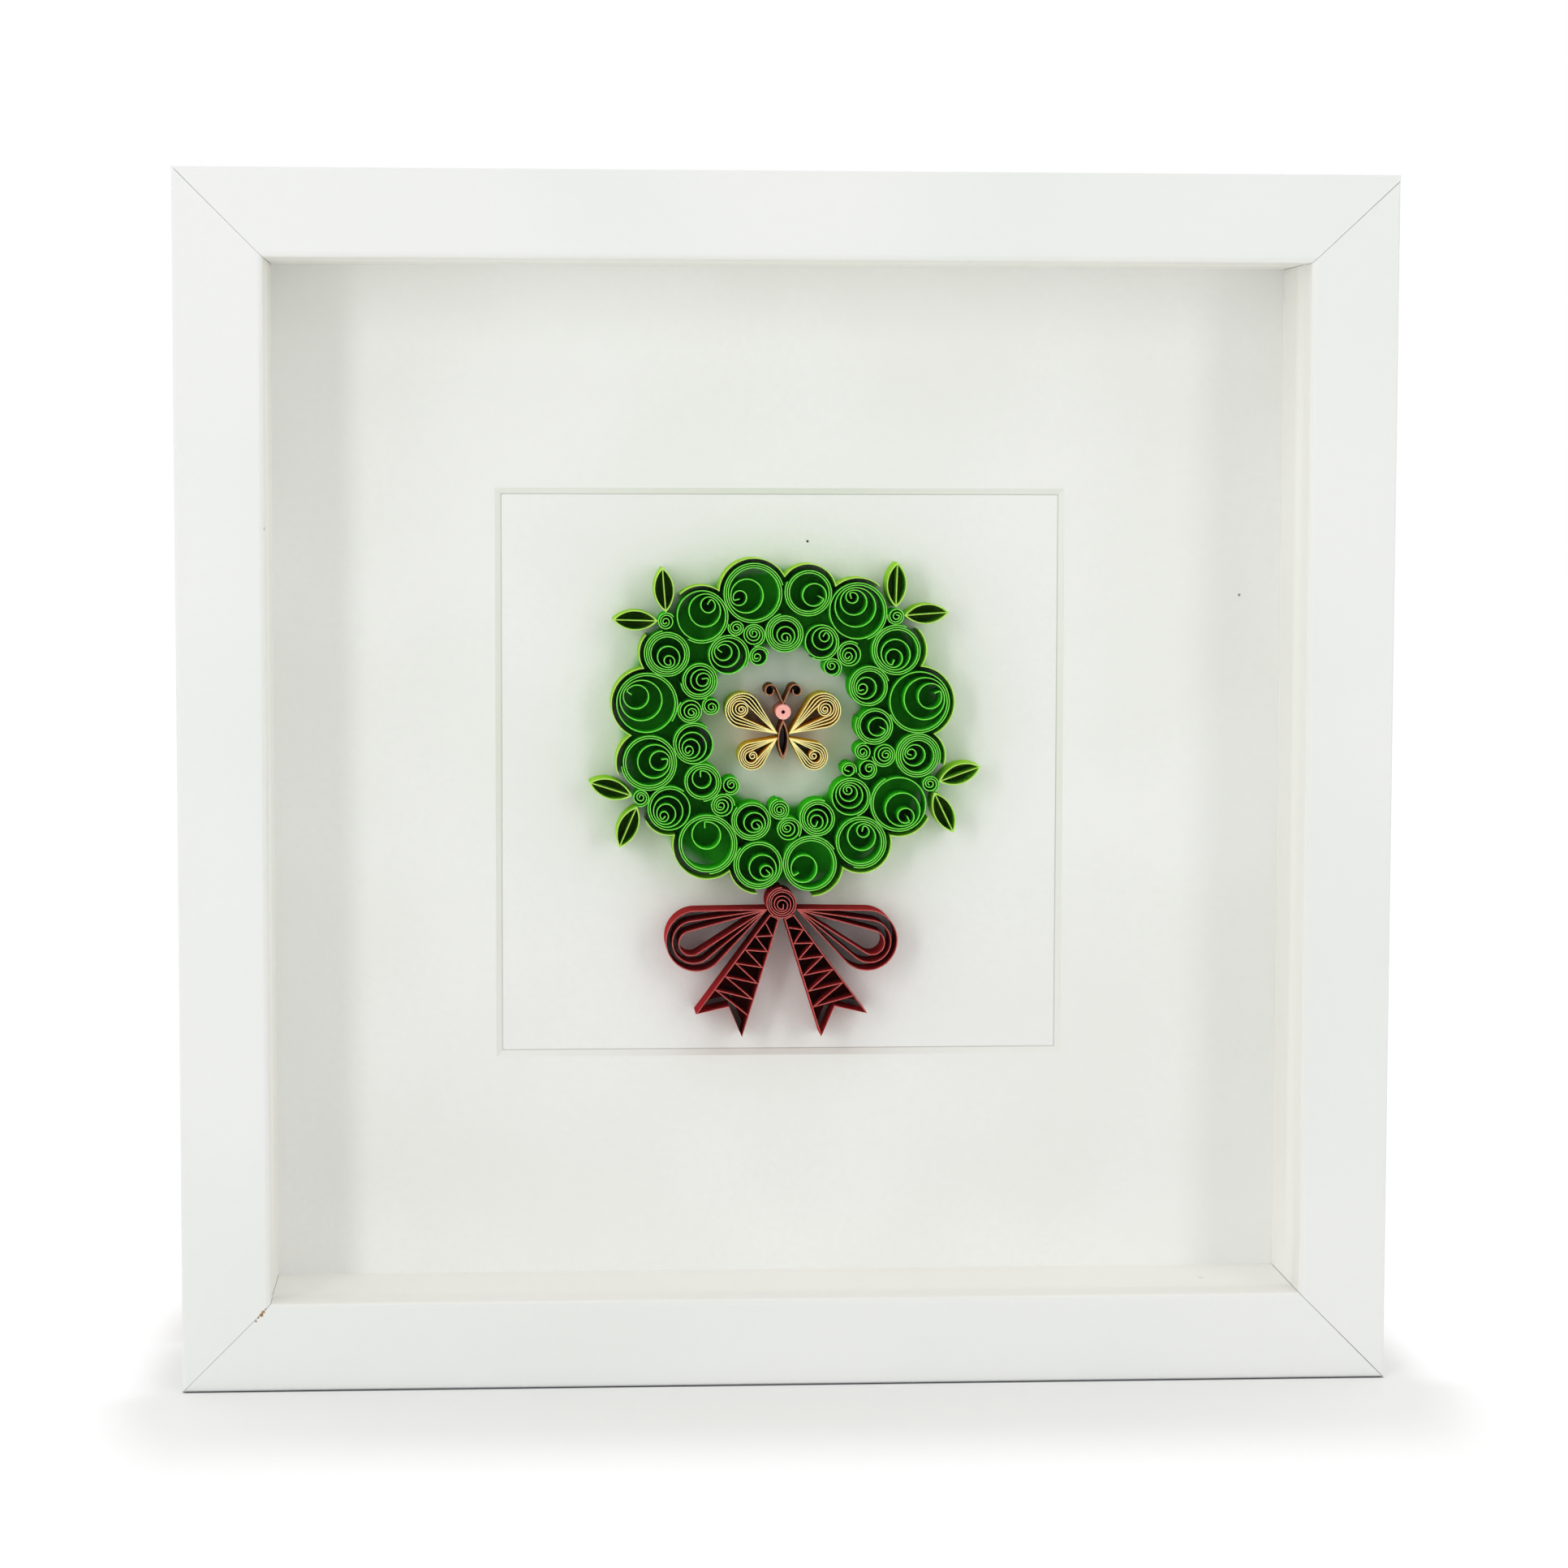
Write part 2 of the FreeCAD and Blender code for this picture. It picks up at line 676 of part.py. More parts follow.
def leaf(base, heading):
    """A pointed loop of strip with a straight rib between its two pinched ends."""
    outer = lens_face(base, heading, LEAF_LENGTH, LEAF_WIDTH)
    pinch = PAPER * LEAF_LENGTH / LEAF_WIDTH
    inner = lens_face(
        polar(base, pinch, heading), heading, LEAF_LENGTH - 2 * pinch, LEAF_WIDTH - 2 * PAPER
    )
    rib = straight_strip(polar(base, pinch, heading), polar(base, LEAF_LENGTH - pinch, heading))
    return one_solid(raised(outer.cut(inner)).fuse(rib))


def buds():
    """Centre of the bud in each joint between two hoops, and the way outwards from the joint."""
    outer = outer_ring()
    places, joint = [], 0
    for count in HOOP_COUNTS[:-1]:
        joint += count
        (a, radius_a), (b, radius_b) = outer[joint - 1], outer[joint]
        beside = BUD_RADIUS + GLUE_PLAY
        centre = crossings(a, radius_a + beside, b, radius_b + beside)[0]
        places.append((centre, direction(a, b) + 90))
    return places


def leaves():
    """A pair of leaves on each bud."""
    return Part.makeCompound([
        leaf(polar(centre, BUD_RADIUS + GLUE_PLAY, outward + lean), outward + lean)
        for centre, outward in buds()
        for lean in (-LEAF_LEAN, LEAF_LEAN)
    ])


# Bow

def knot_centre():
    """The knot lies below the joint between the first and the last outer coil."""
    outer = outer_ring()
    (a, radius_a), (b, radius_b) = outer[0], outer[-1]
    beside = HOOP_STANDOFF + PAPER + KNOT_RADIUS
    spots = crossings(a, radius_a + beside, b, radius_b + beside)
    return min(spots, key=lambda spot: spot[1])


KNOT = knot_centre()


def bow_loop(heading):
    tip = polar(KNOT, KNOT_RADIUS + GLUE_PLAY, heading)
    loops = pinched_loops(
        tip, heading, BOW_LOOP_LENGTH, BOW_LOOP_WIDTH, BOW_LAYERS, BOW_LAYER_STEP, BOW_LAYER_CROWD
    )
    return one_solid(loops)


def tail_corners(heading, margin):
    """Outline of a tail, from the end at the knot to the swallow cut at the free end."""
    root = KNOT_RADIUS + GLUE_PLAY
    start = polar(KNOT, root + margin, heading)
    end = polar(KNOT, root + TAIL_LENGTH - margin, heading)
    cut = polar(end, -TAIL_NOTCH, heading)
    near, far = TAIL_ROOT_WIDTH / 2 - margin, TAIL_END_WIDTH / 2 - margin
    return [
        polar(start, near, heading + 90), polar(start, -near, heading + 90),
        polar(end, -far, heading + 90), cut, polar(end, far, heading + 90),
    ]


def bow_tail(heading):
    outline = polygon_face(tail_corners(heading, 0))
    return raised(outline.cut(polygon_face(tail_corners(heading, PAPER))))


def tail_pleats(heading):
    """A strip folded into a zigzag that fills the tail from side to side."""
    margin = PAPER + GLUE_PLAY + PAPER / 2
    near_left, near_right, far_right, _, far_left = tail_corners(heading, margin)
    share_used = 1 - TAIL_NOTCH / TAIL_LENGTH

    def fold(number):
        side = (near_left, far_left) if number % 2 else (near_right, far_right)
        share = (number + 1) / (PLEATS + 1) * share_used
        return tuple(a + (b - a) * share for a, b in zip(*side))

    folds = [fold(number) for number in range(PLEATS + 1)]
    legs = [straight_strip(a, b) for a, b in zip(folds, folds[1:])]
    creases = [
        Part.makeCylinder(PAPER / 2, STRIP_HEIGHT, point(*place), V(0, -1, 0)) for place in folds[1:-1]
    ]
    return one_solid(legs[0].fuse(legs[1:] + creases))


def bow():
    return {
        "bow_knot": coil(KNOT, KNOT_RADIUS, 90, KNOT_WINDING),
        "bow_loop_left": bow_loop(180 + BOW_LOOP_DROOP),
        "bow_loop_right": bow_loop(-BOW_LOOP_DROOP),
        "bow_tail_left": bow_tail(-90 - TAIL_SPREAD),
        "bow_tail_right": bow_tail(-90 + TAIL_SPREAD),
        "tail_pleats_left": tail_pleats(-90 - TAIL_SPREAD),
        "tail_pleats_right": tail_pleats(-90 + TAIL_SPREAD),
    }


# Butterfly

def wing(tip, heading, length, width):
    """A teardrop coil: pinched turns, with the strip's inner end curled up in the round end."""
    step = WING_LAYER_SHARE * width / 2
    loops = pinched_loops(tip, heading, length, width, WING_LAYERS, step, WING_LAYER_CROWD)
    last = WING_LAYERS - 1
    hollow = width / 2 - last * step
    start = polar(tip, length - last * WING_LAYER_CROWD - PAPER / 2, heading)
    bends = coil_bends(hollow, 0, WING_CURL_TURNS, WING_CURL_EYE)
    return one_solid(loops.fuse(strip(start, heading + 90, bends)))


def feelers(root):
    """One strip folded in a V, with both ends curled outwards."""
    arms = []
    for side in (-1, 1):
        bends = [(FEELER_LENGTH, 0)] + [(curl, -180 * side) for curl in FEELER_CURLS]
        arms.append(strip(root, 90 - side * FEELER_SPREAD, bends))
    fold = Part.makeCylinder(PAPER / 2, STRIP_HEIGHT, point(*root), V(0, -1, 0))
    return one_solid(arms[0].fuse([arms[1], fold]))


def butterfly():
    middle = polar(WREATH_CENTRE, BUTTERFLY_DROP, -90)
    tail = polar(middle, BODY_BELOW, -90)
    head = polar(tail, BODY_LENGTH + HEAD_RADIUS + GLUE_PLAY, 90)
    outer = lens_face(tail, 90, BODY_LENGTH, BODY_WIDTH)
    pinch = PAPER * BODY_LENGTH / BODY_WIDTH
    inner = lens_face(polar(tail, pinch, 90), 90, BODY_LENGTH - 2 * pinch, BODY_WIDTH - 2 * PAPER)
    disc = Part.makeCylinder(HEAD_RADIUS, STRIP_HEIGHT, point(*head), V(0, -1, 0))
    bore = Part.makeCylinder(HEAD_BORE, STRIP_HEIGHT, point(*head), V(0, -1, 0))
    made = {
        "butterfly_body": raised(outer.cut(inner)),
        "butterfly_head": disc.cut(bore),
        "butterfly_feelers": feelers(polar(head, HEAD_RADIUS + GLUE_PLAY + PAPER / 2, 90)),
    }
    beside = BODY_WIDTH / 2 + GLUE_PLAY
    for name, facing in (("right", 0), ("left", 180)):
        root = polar(middle, beside, facing)
        turned = -1 if facing else 1
        for which, lift, length, width, shift in (
            ("upper", UPPER_WING_LIFT, UPPER_WING_LENGTH, UPPER_WING_WIDTH, WING_ROOT_GAP / 2),
            ("lower", LOWER_WING_LIFT, LOWER_WING_LENGTH, LOWER_WING_WIDTH, -WING_ROOT_GAP / 2),
        ):
            tip = polar(root, shift, 90)
            made[f"{which}_wing_{name}"] = wing(tip, facing + turned * lift, length, width)
    return made


def pieces():
    made = {}
    made.update(rails())
    made["corner_nails"] = Part.makeCompound(corner_nails())
    made["glazing"] = sheet(GLAZING_FRONT, GLAZING_THICKNESS)
    made.update(spacers())
    made["mat"] = mat()
    made["backing_card"] = sheet(CARD_FRONT, CARD_THICKNESS)
    made["back_board"] = back_board()
    made["retaining_points"] = retaining_points()
    made["hanger"] = hanger()
    made["hanger_rivets"] = rivets()
    made.update(wreath_coils())
    made["hoops"] = hoops()
    made["leaves"] = leaves()
    made.update(bow())
    made.update(butterfly())
    return made


os.makedirs("parts", exist_ok=True)
for name, shape in pieces().items():
    shape.exportStep(os.path.join("parts", name + ".step"))
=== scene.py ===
"""Looks of the framed quilled paper picture: a white foiled box frame with clear glazing, a bevel-cut
mount and strips of coloured paper that stand on edge on a white card."""
import bpy
import bmesh
import math
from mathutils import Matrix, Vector

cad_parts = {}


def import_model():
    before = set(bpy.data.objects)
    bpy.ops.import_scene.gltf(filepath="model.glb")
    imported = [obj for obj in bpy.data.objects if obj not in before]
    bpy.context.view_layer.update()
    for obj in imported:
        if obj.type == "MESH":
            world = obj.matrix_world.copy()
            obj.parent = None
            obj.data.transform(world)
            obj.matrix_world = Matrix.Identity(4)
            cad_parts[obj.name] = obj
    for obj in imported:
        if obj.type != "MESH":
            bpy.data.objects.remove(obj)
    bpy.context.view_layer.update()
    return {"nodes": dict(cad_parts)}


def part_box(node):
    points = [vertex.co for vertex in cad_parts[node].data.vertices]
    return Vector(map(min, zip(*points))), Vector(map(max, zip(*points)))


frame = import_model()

NODES = frame["nodes"]

# Places in the part, in metres
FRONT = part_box("frame_rail_left")[0].y
CARD_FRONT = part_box("backing_card")[0].y
MAT_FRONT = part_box("mat")[0].y
KNOT_MIDDLE = (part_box("bow_knot")[0].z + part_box("bow_knot")[1].z) / 2
# The wreath's ring, the bow's tails and the leaves, under which the card carries painted bounce light
WREATH_MIDDLE = 0.135
RING_INSIDE, RING_OUTSIDE = 0.0172, 0.0335
TAIL_SPREAD = math.radians(27.0)  # each tail's middle line to the upright
TAIL_ROOT, TAIL_NOTCH = 0.0033, 0.0233  # from the knot's middle
TAIL_ROOT_HALF, TAIL_FLARE = 0.0009, 0.166  # half width at the root, and its gain with length
NOTCH_SLOPE = 0.85
BUDS = (  # x, z and the way outwards, in degrees; a pair of leaves grows from each
    (-0.0301, 0.1203, 204.6), (-0.0246, 0.1577, 136.5), (0.0237, 0.1588, 46.1), (0.0313, 0.1231, -22.2),
)
LEAF_LEAN, LEAF_MIDDLE = 42.0, 0.0066  # degrees to the way outwards, and from the bud
LEAF_HALF_LENGTH, LEAF_HALF_WIDTH = 0.0045, 0.00195


# Materials: small helpers

class Tree:
    """Adds nodes to a material, a world or a group, and links each input that is given a socket."""

    def __init__(self, tree):
        self.tree = tree

    def add(self, kind, inputs=None, **settings):
        node = self.tree.nodes.new(kind)
        for name, value in settings.items():
            setattr(node, name, value)
        for name, value in (inputs or {}).items():
            self.put(node.inputs[name], value)
        return node

    def put(self, socket, value):
        if isinstance(value, bpy.types.NodeSocket):
            self.tree.links.new(value, socket)
        else:
            socket.default_value = value

    def math(self, operation, first, second=0.0, third=0.0):
        node = self.add("ShaderNodeMath", {0: first, 1: second, 2: third}, operation=operation)
        return node.outputs[0]

    def mix(self, share, low, high):
        node = self.add("ShaderNodeMix", data_type="RGBA", blend_type="MIX")
        node.clamp_factor = True
        self.put(node.inputs[0], share)
        self.put(node.inputs[6], low)
        self.put(node.inputs[7], high)
        return node.outputs[2]

    def ramp(self, value, low, high, to_low=0.0, to_high=1.0, smooth=True):
        node = self.add(
            "ShaderNodeMapRange", {0: value, 1: low, 2: high, 3: to_low, 4: to_high},
            interpolation_type="SMOOTHSTEP" if smooth else "LINEAR",
        )
        return node.outputs[0]

    def noise(self, place, scale, detail=2.0, roughness=0.5):
        node = self.add("ShaderNodeTexNoise", {
            "Vector": place, "Scale": scale, "Detail": detail, "Roughness": roughness,
        })
        return node.outputs["Fac"]

    def length(self, first, second):
        squares = [self.math("POWER", part, 2.0) for part in (first, second)]
        return self.math("SQRT", self.math("ADD", *squares))

    def split(self, vector):
        node = self.add("ShaderNodeSeparateXYZ", {0: vector})
        return node.outputs[0], node.outputs[1], node.outputs[2]

    def place(self):
        return self.add("ShaderNodeTexCoord").outputs["Object"]

    def facing(self):
        return self.add("ShaderNodeNewGeometry").outputs["True Normal"]


def group(name, inputs, outputs):
    """An empty shader group with named sockets; returns its tree helper, its inputs and its end."""
    made = bpy.data.node_groups.new(name, "ShaderNodeTree")
    for socket, kind, value in inputs:
        made.interface.new_socket(socket, in_out="INPUT", socket_type=kind).default_value = value
    for socket, kind in outputs:
        made.interface.new_socket(socket, in_out="OUTPUT", socket_type=kind)
    tree = Tree(made)
    return tree, tree.add("NodeGroupInput").outputs, tree.add("NodeGroupOutput").inputs


def use(tree, made, **inputs):
    node = tree.add("ShaderNodeGroup", node_tree=made)
    for name, value in inputs.items():
        tree.put(node.inputs[name.replace("_", " ")], value)
    return node.outputs


def hue(red, green, blue):
    """A colour as it is seen on a screen, 0 to 255, for a shader's socket."""
    def linear(value):
        share = value / 255
        return share / 12.92 if share <= 0.04045 else ((share + 0.055) / 1.055) ** 2.4
    return (linear(red), linear(green), linear(blue), 1.0)


FLOAT, COLOR, VECTOR = "NodeSocketFloat", "NodeSocketColor", "NodeSocketVector"


# Materials: effects that several share

def paper_tooth():
    """Fine tooth of paper or board: a height for the bump and a faint mottling of the colour."""
    tree, given, end = group(
        "paper tooth", [("Grain", FLOAT, 900.0), ("Cloud", FLOAT, 40.0)],
        [("Height", FLOAT), ("Mottle", FLOAT)],
    )
    place = tree.place()
    fine = tree.noise(place, given["Grain"], 1.0, 0.65)
    fibres = tree.add("ShaderNodeTexNoise", {
        "Vector": tree.add("ShaderNodeMapping", {0: place, 3: (1.0, 1.0, 0.22)}).outputs[0],
        "Scale": tree.math("MULTIPLY", given["Grain"], 0.8), "Detail": 0.0,
    }).outputs["Fac"]
    tree.put(end["Height"], tree.math("ADD", fine, tree.math("MULTIPLY", fibres, 0.6)))
    cloud = tree.noise(place, given["Cloud"], 1.0, 0.55)
    mottle = tree.math("ADD", tree.math("MULTIPLY", cloud, 0.7), tree.math("MULTIPLY", fine, 0.3))
    tree.put(end["Mottle"], mottle)
    return tree.tree


def fibre_board():
    """Pressed wood fibre: brown, flecked, with a rough height."""
    tree, given, end = group(
        "pressed fibre", [("Pale", COLOR, hue(186, 156, 116)), ("Dark", COLOR, hue(132, 100, 66))],
        [("Color", COLOR), ("Height", FLOAT)],
    )
    place = tree.place()
    soft = tree.noise(place, 620.0, 2.0, 0.7)
    flecks = tree.add("ShaderNodeTexVoronoi", {"Vector": place, "Scale": 1500.0}).outputs["Distance"]
    share = tree.math("ADD", tree.math("MULTIPLY", soft, 0.8), tree.math("MULTIPLY", flecks, 0.35))
    tree.put(end["Color"], tree.mix(tree.ramp(share, 0.3, 0.8), given["Dark"], given["Pale"]))
    tree.put(end["Height"], share)
    return tree.tree


def near_spot():
    """1 close to a place and 0 beyond its reach, with a ragged border."""
    tree, given, end = group(
        "near spot",
        [("Spot", VECTOR, (0, 0, 0)), ("Reach", FLOAT, 0.002), ("Ragged", FLOAT, 0.5)],
        [("Mask", FLOAT)],
    )
    place = tree.place()
    away = tree.add("ShaderNodeVectorMath", {0: place, 1: given["Spot"]}, operation="DISTANCE")
    ragged = tree.math("SUBTRACT", tree.noise(place, 1400.0, 1.0), 0.5)
    ragged = tree.math("MULTIPLY", tree.math("MULTIPLY", ragged, given["Ragged"]), given["Reach"])
    reach = tree.math("ADD", away.outputs["Value"], tree.math("MULTIPLY", ragged, 2.0))
    inside = tree.math("DIVIDE", reach, given["Reach"])
    tree.put(end["Mask"], tree.ramp(inside, 0.75, 1.0, 1.0, 0.0))
    return tree.tree


def dust():
    """A few pale or dark specks, scattered over a surface."""
    tree, given, end = group(
        "dust specks", [("Spread", FLOAT, 90.0), ("Size", FLOAT, 0.05), ("Share", FLOAT, 0.1)],
        [("Mask", FLOAT)],
    )
    cells = tree.add("ShaderNodeTexVoronoi", {
        "Vector": tree.place(), "Scale": given["Spread"], "Randomness": 1.0,
    })
    chosen = tree.math("LESS_THAN", tree.split(cells.outputs["Color"])[0], given["Share"])
    dot = tree.math("LESS_THAN", cells.outputs["Distance"], given["Size"])
    tree.put(end["Mask"], tree.math("MULTIPLY", chosen, dot))
    return tree.tree


def raw_faces():
    """Where a foiled rail or strip shows its bare board: cut mitres, the rebate and the back. The
    foiled side of the lip, before the glazing, has a mask of its own, where the foil is painted
    lighter: painted light."""
    tree, given, end = group(
        "raw faces",
        [("Rebate half", FLOAT, 0.1165), ("Rebate front", FLOAT, -0.0144), ("Back", FLOAT, 0.0224),
         ("Middle", FLOAT, 0.125), ("Sight half", FLOAT, 0.1084)],
        [("Mitre", FLOAT), ("Rebate", FLOAT), ("Back", FLOAT), ("Painted lit lip", FLOAT)],
    )
    nx, ny, nz = tree.split(tree.facing())
    x, y, z = tree.split(tree.place())
    aslant = [tree.math("GREATER_THAN", tree.math("ABSOLUTE", part), 0.5) for part in (nx, nz)]
    tree.put(end["Mitre"], tree.math("MULTIPLY", *aslant))
    out = tree.math("MAXIMUM", tree.math("ABSOLUTE", x),
                    tree.math("ABSOLUTE", tree.math("SUBTRACT", z, given["Middle"])))
    inside = tree.math("LESS_THAN", out, given["Rebate half"])
    behind = tree.math("GREATER_THAN", y, given["Rebate front"])
    # painted light: a mask of the lip's inner side before the glazing, which is painted whiter
    lip = tree.math("MULTIPLY", tree.math("LESS_THAN", out, given["Sight half"]),
                    tree.math("SUBTRACT", 1.0, behind))
    tree.put(end["Painted lit lip"], tree.math("MULTIPLY", lip, tree.ramp(ny, -0.9, -0.3)))
    tree.put(end["Rebate"], tree.math("MULTIPLY", inside, behind))
    at_back = tree.math("MULTIPLY", tree.math("GREATER_THAN", ny, 0.9),
                        tree.math("GREATER_THAN", y, given["Back"]))
    tree.put(end["Back"], at_back)
    return tree.tree


PAPER_TOOTH = paper_tooth()
FIBRE_BOARD = fibre_board()
NEAR_SPOT = near_spot()
DUST = dust()
RAW_FACES = raw_faces()


# Materials: finishes

def finish_material(name):
    made = bpy.data.materials.new(name)
    made.use_nodes = True
    tree = Tree(made.node_tree)
    surface = made.node_tree.nodes["Principled BSDF"]
    return made, tree, surface


def bump(tree, height, strength, distance):
    node = tree.add("ShaderNodeBump", {"Strength": strength, "Distance": distance, "Height": height})
    return node.outputs["Normal"]


def highest(tree, masks):
    total = masks[0]
    for mask in masks[1:]:
        total = tree.math("MAXIMUM", total, mask)
    return total


def foiled_board(name, colour, shade, bare_parts, chips=(), rough=0.42):
    """White foil over pressed board. The foil has a faint orange peel, and on the inner side of the
    lip it is painted whiter: painted light. Bare board shows on the parts named, such as the cut
    mitres, and at chips."""
    made, tree, surface = finish_material(name)
    place = tree.place()
    raw = use(tree, RAW_FACES)
    board = use(tree, FIBRE_BOARD)
    masks = [raw[part] for part in bare_parts]
    for spot, reach in chips:
        masks.append(use(tree, NEAR_SPOT, Spot=spot, Reach=reach, Ragged=1.2)["Mask"])
    bare = highest(tree, masks)
    peel = tree.noise(place, 700.0, 0.0)
    cloud = tree.noise(place, 14.0, 1.0, 0.6)
    foil = tree.mix(tree.ramp(cloud, 0.35, 0.7), shade, colour)
    # painted light: the inner side of the lip is painted whiter
    foil = tree.mix(raw["Painted lit lip"], foil, hue(244, 243, 239))
    specks = use(tree, DUST, Spread=45.0, Size=0.035, Share=0.05)["Mask"]
    foil = tree.mix(tree.math("MULTIPLY", specks, 0.25), foil, hue(150, 146, 136))
    tree.put(surface.inputs["Base Color"], tree.mix(bare, foil, board["Color"]))
    smooth = tree.ramp(cloud, 0.3, 0.7, rough - 0.04, rough + 0.05)
    tree.put(surface.inputs["Roughness"], tree.ramp(bare, 0.0, 1.0, smooth, 0.9, smooth=False))
    coarser = tree.ramp(bare, 0.0, 1.0, 1.0, 4.0, smooth=False)
    height = tree.math("MULTIPLY", peel, coarser)
    tree.put(surface.inputs["Normal"], bump(tree, height, 0.12, 0.0004))
    return made


def board_sheet(name, colour, shade, core=None, specks=(), painted_bounce_under=(), grain=700.0, depth=0.2):
    """Mount board or card: tooth and a faint mottling, and a cut core where it is bevelled, with a
    painted shadow line where the bevel meets the card. Under the strips the card carries painted
    bounce light, the colour that the strips throw on it."""
    made, tree, surface = finish_material(name)
    tooth = use(tree, PAPER_TOOTH, Grain=grain, Cloud=22.0)
    paint = tree.mix(tree.ramp(tooth["Mottle"], 0.35, 0.65), shade, colour)
    if core:
        ny = tree.split(tree.facing())[1]
        cut = tree.math("MULTIPLY", tree.math("LESS_THAN", ny, -0.3),
                        tree.math("GREATER_THAN", ny, -0.9))
        paint = tree.mix(cut, paint, core)
        y = tree.split(tree.place())[1]
        # painted shadow: a thin darker line on the bevel where it meets the card
        painted_foot_shadow = tree.ramp(y, CARD_FRONT - 0.0003, CARD_FRONT - 0.00005)
        paint = tree.mix(tree.math("MULTIPLY", cut, painted_foot_shadow), paint, hue(200, 199, 193))
    # painted bounce light: under the strips the card takes their colour
    for painted_bounce_mask, painted_bounce_colour in painted_bounce_under:
        paint = tree.mix(painted_bounce_mask(tree), paint, painted_bounce_colour)
    for spot, reach, tone in specks:
        mask = use(tree, NEAR_SPOT, Spot=spot, Reach=reach, Ragged=0.8)["Mask"]
        paint = tree.mix(mask, paint, tone)
    tree.put(surface.inputs["Base Color"], paint)
    tree.put(surface.inputs["Roughness"], tree.ramp(tooth["Height"], 0.4, 1.2, 0.82, 0.95))
    surface.inputs["Specular IOR Level"].default_value = 0.3
    tree.put(surface.inputs["Normal"], bump(tree, tooth["Height"], depth, 0.0003))
    return made


def under_wreath(tree):
    """1 on the card under the coils of the wreath, where it carries their painted bounce light."""
    x, _, z = tree.split(tree.place())
    out = tree.length(x, tree.math("SUBTRACT", z, WREATH_MIDDLE))
    return tree.math("MULTIPLY", tree.ramp(out, RING_INSIDE - 0.001, RING_INSIDE + 0.001),
                     tree.ramp(out, RING_OUTSIDE - 0.0015, RING_OUTSIDE + 0.0015, 1.0, 0.0))


def under_tails(tree):
    """1 on the card inside the two tails of the bow, where it carries their painted bounce light."""
    x, _, z = tree.split(tree.place())
    aside = tree.math("ABSOLUTE", x)
    drop = tree.math("SUBTRACT", KNOT_MIDDLE, z)
    along = tree.math("ADD", tree.math("MULTIPLY", aside, math.sin(TAIL_SPREAD)),
                      tree.math("MULTIPLY", drop, math.cos(TAIL_SPREAD)))
    across = tree.math("ABSOLUTE", tree.math(
        "SUBTRACT", tree.math("MULTIPLY", aside, math.cos(TAIL_SPREAD)),
        tree.math("MULTIPLY", drop, math.sin(TAIL_SPREAD)),
    ))
    past_root = tree.math("SUBTRACT", along, TAIL_ROOT)
    half = tree.math("MULTIPLY_ADD", past_root, TAIL_FLARE, TAIL_ROOT_HALF)
    end = tree.math("MULTIPLY_ADD", across, NOTCH_SLOPE, TAIL_NOTCH)
    return tree.math("MULTIPLY", tree.math("LESS_THAN", across, half),
                     tree.math("LESS_THAN", along, end))


def under_leaves(tree):
    """1 on the card inside the leaves, where it carries their painted bounce light."""
    place = tree.place()
    masks = []
    for x, z, outward in BUDS:
        for lean in (-LEAF_LEAN, LEAF_LEAN):
            heading = math.radians(outward + lean)
            along = Vector((math.cos(heading), 0.0, math.sin(heading)))
            middle = Vector((x, 0.0, z)) + LEAF_MIDDLE * along
            reaches = []
            for axis in (along, Vector((-along.z, 0.0, along.x))):
                reach = tree.add("ShaderNodeVectorMath", {0: place, 1: axis}, operation="DOT_PRODUCT")
                reaches.append(tree.math("SUBTRACT", reach.outputs["Value"], middle.dot(axis)))
            far, aside = reaches
            bulge = tree.math("MULTIPLY_ADD", tree.math("MULTIPLY", far, far),
                              LEAF_HALF_WIDTH / LEAF_HALF_LENGTH ** 2, tree.math("ABSOLUTE", aside))
            masks.append(tree.math("LESS_THAN", bulge, LEAF_HALF_WIDTH))
    return highest(tree, masks)


def strip_paper(name, paint, painted_lit_edge, worn, glow=0.8):
    """Coloured paper on edge, dyed through. Its cut edge, towards the viewer, is frayed and painted a
    little paler: a painted highlight. The colour drifts from strip to strip, and some light passes
    through the paper."""
    made, tree, surface = finish_material(name)
    place = tree.place()
    ny = tree.split(tree.facing())[1]
    tooth = use(tree, PAPER_TOOTH, Grain=1600.0, Cloud=110.0)
    drift = tree.noise(place, 60.0, 0.0)
    walls = tree.mix(tree.ramp(drift, 0.35, 0.65, 0.0, 0.4), paint, worn)
    walls = tree.mix(tree.ramp(tooth["Mottle"], 0.4, 0.62, 0.0, 0.3), walls, worn)
    # painted highlight: the cut edge, which faces the front, is painted paler
    cut = tree.ramp(ny, -0.95, -0.7, 1.0, 0.0)
    frayed = tree.ramp(tree.noise(place, 2600.0, 1.0), 0.3, 0.7, 0.7, 1.0)
    cut = tree.math("MULTIPLY", cut, frayed)
    tree.put(surface.inputs["Base Color"], tree.mix(cut, walls, painted_lit_edge))
    tree.put(surface.inputs["Roughness"], tree.ramp(tooth["Mottle"], 0.3, 0.7, 0.6, 0.78))
    surface.inputs["Specular IOR Level"].default_value = 0.0
    surface.inputs["Subsurface Weight"].default_value = glow
    surface.inputs["Subsurface Radius"].default_value = (1.0, 1.0, 1.0)
    surface.inputs["Subsurface Scale"].default_value = 0.0004
    tree.put(surface.inputs["Normal"], bump(tree, tooth["Height"], 0.25, 0.00008))
    return made


